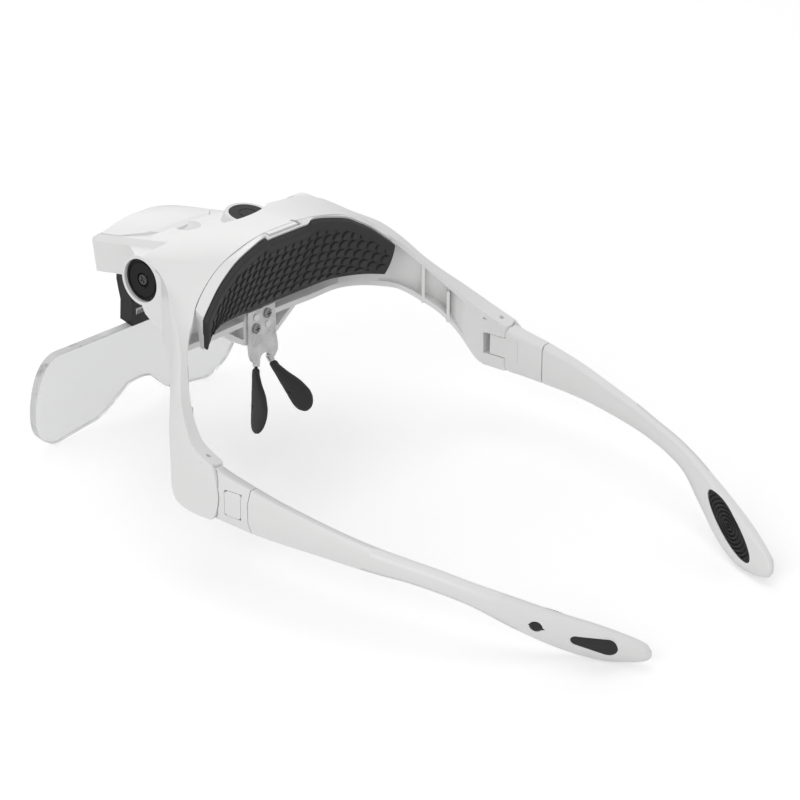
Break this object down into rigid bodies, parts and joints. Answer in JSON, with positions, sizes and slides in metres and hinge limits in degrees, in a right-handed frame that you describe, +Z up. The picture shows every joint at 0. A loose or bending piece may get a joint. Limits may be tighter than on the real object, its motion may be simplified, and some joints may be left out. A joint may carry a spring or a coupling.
{
  "type": "lighted head-worn magnifier",
  "caption": "Spectacle-style head magnifier: brow frame with padded forehead rest and nose pads, tilting lamp box, flip-up lens plate and folding temples.",
  "frame": {"origin": "centre of the bounding box in plan, on the table that the temple tips and the lens plate's lower edge stand on", "axes": "+X to the wearer's left, -Y forward through the lens, +Z up"},
  "size_m": [0.1484, 0.2376, 0.0835],
  "materials": {
    "white_abs": "satin moulded plastic",
    "pad_rubber": "matt, overlapping discs on the face",
    "nose_silicone": "smooth, semi-matt",
    "bracket_steel": "satin",
    "screw_steel": "plated",
    "screw_black": "blackened",
    "pin_steel": "ground",
    "spring_steel": "bright wire",
    "stem_black": "black coated",
    "cushion_rubber": "matt, grooved",
    "knob_black": "fine grain",
    "button_black": "matt",
    "holder_black": "satin",
    "washer_nylon": "plain",
    "lens_acrylic": "clear",
    "lamp_resin": "clear resin",
    "cell_steel": "nickel plated",
    "contact_brass": "sprung strip",
    "board_green": "lacquered",
    "switch_dark": "plain"
  },
  "bodies": {
    "frame": {"front_frame": "white_abs", "pad_carrier": "white_abs", "forehead_pad": "pad_rubber", "nose_plate": "bracket_steel", "nose_screws": "screw_steel", "hinge_pin_left": "pin_steel", "hinge_pin_right": "pin_steel"},
    "nose_left": {"nose_stem_left": "stem_black", "nose_pad_left": "nose_silicone"},
    "nose_right": {"nose_stem_right": "stem_black", "nose_pad_right": "nose_silicone"},
    "base_left": {"temple_base_left": "white_abs", "release_spring_left": "spring_steel"},
    "base_right": {"temple_base_right": "white_abs", "release_spring_right": "spring_steel"},
    "latch_left": {"release_button_left": "white_abs"},
    "latch_right": {"release_button_right": "white_abs"},
    "arm_left": {"temple_arm_left": "white_abs", "temple_cushion_left": "cushion_rubber"},
    "arm_right": {"temple_arm_right": "white_abs", "temple_cushion_right": "cushion_rubber"},
    "lamp_head": {"light_box": "white_abs", "lamp_plate": "white_abs", "box_screws": "screw_steel", "cell_left": "cell_steel", "cell_middle": "cell_steel", "cell_right": "cell_steel", "contact_under_left": "contact_brass", "contact_under_right": "contact_brass", "contact_over_left": "contact_brass", "contact_over_right": "contact_brass", "circuit_board": "board_green", "switch_body": "switch_dark", "power_spring": "spring_steel", "led_left": "lamp_resin", "led_right": "lamp_resin", "knob_left": "knob_black", "knob_right": "knob_black", "knob_screw_left": "screw_black", "knob_screw_right": "screw_black", "washer_left": "washer_nylon", "washer_right": "washer_nylon", "lens_holder_pin": "pin_steel"},
    "lid": {"battery_lid": "white_abs"},
    "power": {"power_button": "button_black"},
    "holder": {"lens_holder": "holder_black"},
    "lens": {"lens_plate": "lens_acrylic"}
  },
  "joints": [
    {"name": "lamp_tilt", "type": "hinge", "parent": "frame", "child": "lamp_head", "pos_m": [0, -0.07022, 0.07021], "axis": [1, 0, 0], "range_deg": [-8, 18]},
    {"name": "lid_tip", "type": "hinge", "parent": "lamp_head", "child": "lid", "pos_m": [0, -0.10855, 0.07062], "axis": [1, 0, 0], "range_deg": [0, 15]},
    {"name": "power_press", "type": "slide", "parent": "lamp_head", "child": "power", "axis": [0, -0.1736, -0.9848], "range_m": [0, 0.0006], "stiffness_N_per_m": 400, "springref_m": -0.001, "deforming": ["power_spring"]},
    {"name": "lens_flip", "type": "hinge", "parent": "lamp_head", "child": "holder", "pos_m": [0, -0.10984, 0.0604], "axis": [-1, 0, 0], "range_deg": [0, 80]},
    {"name": "lens_slide", "type": "slide", "parent": "holder", "child": "lens", "axis": [0, -0.2419, -0.9703], "range_m": [0, 0.006]},
    {"name": "temple_fold_left", "type": "hinge", "parent": "frame", "child": "base_left", "pos_m": [0.07, -0.01222, 0.03021], "axis": [0, 0, 1], "range_deg": [0, 88]},
    {"name": "temple_fold_right", "type": "hinge", "parent": "frame", "child": "base_right", "pos_m": [-0.07, -0.01222, 0.03021], "axis": [0, 0, -1], "range_deg": [0, 72]},
    {"name": "arm_slide_left", "type": "slide", "parent": "base_left", "child": "arm_left", "axis": [0, 1, 0], "range_m": [0, 0.009]},
    {"name": "arm_slide_right", "type": "slide", "parent": "base_right", "child": "arm_right", "axis": [0, 1, 0], "range_m": [0, 0.009]},
    {"name": "latch_press_left", "type": "slide", "parent": "base_left", "child": "latch_left", "axis": [-1, 0, 0], "range_m": [0, 0.0008], "stiffness_N_per_m": 500, "springref_m": -0.001, "deforming": ["release_spring_left"]},
    {"name": "latch_press_right", "type": "slide", "parent": "base_right", "child": "latch_right", "axis": [1, 0, 0], "range_m": [0, 0.0008], "stiffness_N_per_m": 500, "springref_m": -0.001, "deforming": ["release_spring_right"]},
    {"name": "nose_swivel_left", "type": "hinge", "parent": "frame", "child": "nose_left", "pos_m": [0.0037, -0.05507, 0.03401], "axis": [0.352, 0.342, -0.8713], "range_deg": [-12, 12]},
    {"name": "nose_swivel_right", "type": "hinge", "parent": "frame", "child": "nose_right", "pos_m": [-0.0037, -0.05507, 0.03401], "axis": [-0.352, 0.342, -0.8713], "range_deg": [-12, 12]}
  ]
}
